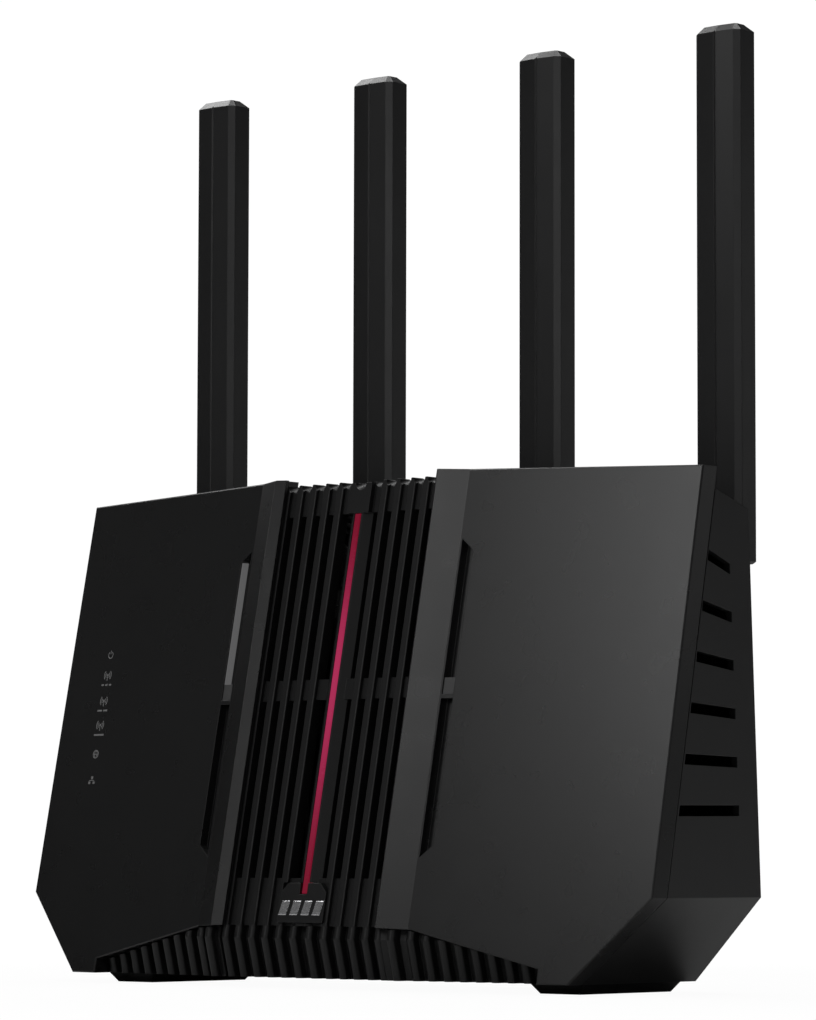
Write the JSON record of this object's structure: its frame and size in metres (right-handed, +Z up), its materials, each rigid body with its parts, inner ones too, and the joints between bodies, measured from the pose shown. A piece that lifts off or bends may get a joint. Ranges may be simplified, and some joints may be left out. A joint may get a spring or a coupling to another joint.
{
  "type": "wireless router",
  "caption": "Upright desktop wireless router: swept front wings round a ribbed grille with a light strip, slotted rear housing with network jacks, folding antennas.",
  "frame": {"origin": "on the desk, centred under the router's overall box at rest", "axes": "+X to the right seen from the front, +Y to the back, +Z up"},
  "size_m": [0.267, 0.0869, 0.3082],
  "materials": {
    "wing": "satin moulded, very fine spark texture",
    "grille": "satin moulded",
    "badge": "satin",
    "accent": "light grey diffuser",
    "light_lens": "translucent crimson light guide",
    "circuit_board": "black solder mask",
    "housing": "satin moulded, fine spark texture",
    "screw_steel": "zinc plated",
    "bezel": "matt moulded",
    "jack": "glossy thermoplastic",
    "wan_jack": "glossy blue thermoplastic",
    "port_steel": "nickel plated",
    "button": "satin moulded",
    "switch": "moulded",
    "chip": "epoxy moulded",
    "thermal_pad": "soft silicone",
    "aluminium": "extruded and anodised black",
    "shield": "tinned",
    "lead": "smooth sheath",
    "light_guide": "clear moulded",
    "foot_rubber": "matt",
    "label": "printed film, blank",
    "antenna": "satin moulded",
    "swivel": "satin moulded"
  },
  "bodies": {
    "router": {"left_wing_panel": "wing", "right_wing_panel": "wing", "front_grille": "grille", "badge_plate": "badge", "left_accent_strip": "accent", "right_accent_strip": "accent", "light_strip": "light_lens", "light_strip_board": "circuit_board", "rear_housing": "housing", "housing_screws": "screw_steel", "port_bezel": "bezel", "lan_jacks": "jack", "wan_jack": "wan_jack", "usb_port": "port_steel", "dc_inlet": "jack", "power_switch": "switch", "wps_switch": "switch", "reset_switch": "switch", "main_board": "circuit_board", "board_screws": "screw_steel", "processor_chip": "chip", "thermal_pad": "thermal_pad", "heat_sink": "aluminium", "radio_shields": "shield", "antenna_leads": "lead", "status_light_guides": "light_guide", "status_light_board": "circuit_board", "left_foot": "foot_rubber", "right_foot": "foot_rubber", "rating_label": "label"},
    "power_button": {"power_button": "button"},
    "wps_button": {"wps_button": "button"},
    "reset_button": {"reset_button": "button"},
    "outer_left_base": {"outer_left_swivel": "swivel", "outer_left_swivel_clip": "screw_steel"},
    "outer_left_antenna": {"outer_left_antenna_shell": "antenna", "outer_left_antenna_cover": "antenna", "outer_left_antenna_element": "circuit_board", "outer_left_hinge_pin": "screw_steel"},
    "inner_left_base": {"inner_left_swivel": "swivel", "inner_left_swivel_clip": "screw_steel"},
    "inner_left_antenna": {"inner_left_antenna_shell": "antenna", "inner_left_antenna_cover": "antenna", "inner_left_antenna_element": "circuit_board", "inner_left_hinge_pin": "screw_steel"},
    "inner_right_base": {"inner_right_swivel": "swivel", "inner_right_swivel_clip": "screw_steel"},
    "inner_right_antenna": {"inner_right_antenna_shell": "antenna", "inner_right_antenna_cover": "antenna", "inner_right_antenna_element": "circuit_board", "inner_right_hinge_pin": "screw_steel"},
    "outer_right_base": {"outer_right_swivel": "swivel", "outer_right_swivel_clip": "screw_steel"},
    "outer_right_antenna": {"outer_right_antenna_shell": "antenna", "outer_right_antenna_cover": "antenna", "outer_right_antenna_element": "circuit_board", "outer_right_hinge_pin": "screw_steel"}
  },
  "joints": [
    {"name": "outer_left_swivel", "type": "hinge", "parent": "router", "child": "outer_left_base", "pos_m": [-0.111, 0.0227, 0.14], "axis": [0, 1, 0], "range_deg": [-90, 15]},
    {"name": "outer_left_fold", "type": "hinge", "parent": "outer_left_base", "child": "outer_left_antenna", "pos_m": [-0.111, 0.0386, 0.14], "axis": [-1, 0, 0], "range_deg": [0, 90]},
    {"name": "inner_left_swivel", "type": "hinge", "parent": "router", "child": "inner_left_base", "pos_m": [-0.037, 0.0227, 0.14], "axis": [0, 1, 0], "range_deg": [-15, 15]},
    {"name": "inner_left_fold", "type": "hinge", "parent": "inner_left_base", "child": "inner_left_antenna", "pos_m": [-0.037, 0.0386, 0.14], "axis": [-1, 0, 0], "range_deg": [0, 90]},
    {"name": "inner_right_swivel", "type": "hinge", "parent": "router", "child": "inner_right_base", "pos_m": [0.037, 0.0227, 0.14], "axis": [0, 1, 0], "range_deg": [-15, 15]},
    {"name": "inner_right_fold", "type": "hinge", "parent": "inner_right_base", "child": "inner_right_antenna", "pos_m": [0.037, 0.0386, 0.14], "axis": [-1, 0, 0], "range_deg": [0, 90]},
    {"name": "outer_right_swivel", "type": "hinge", "parent": "router", "child": "outer_right_base", "pos_m": [0.111, 0.0227, 0.14], "axis": [0, 1, 0], "range_deg": [-15, 90]},
    {"name": "outer_right_fold", "type": "hinge", "parent": "outer_right_base", "child": "outer_right_antenna", "pos_m": [0.111, 0.0386, 0.14], "axis": [-1, 0, 0], "range_deg": [0, 90]},
    {"name": "power_press", "type": "slide", "parent": "router", "child": "power_button", "axis": [0, -1, 0], "range_m": [0, 0.002], "stiffness_N_per_m": 400, "springref_m": -0.0004},
    {"name": "wps_press", "type": "slide", "parent": "router", "child": "wps_button", "axis": [0, -1, 0], "range_m": [0, 0.001], "stiffness_N_per_m": 400, "springref_m": -0.0004},
    {"name": "reset_press", "type": "slide", "parent": "router", "child": "reset_button", "axis": [0, -1, 0], "range_m": [0, 0.001], "stiffness_N_per_m": 300, "springref_m": -0.0004}
  ]
}
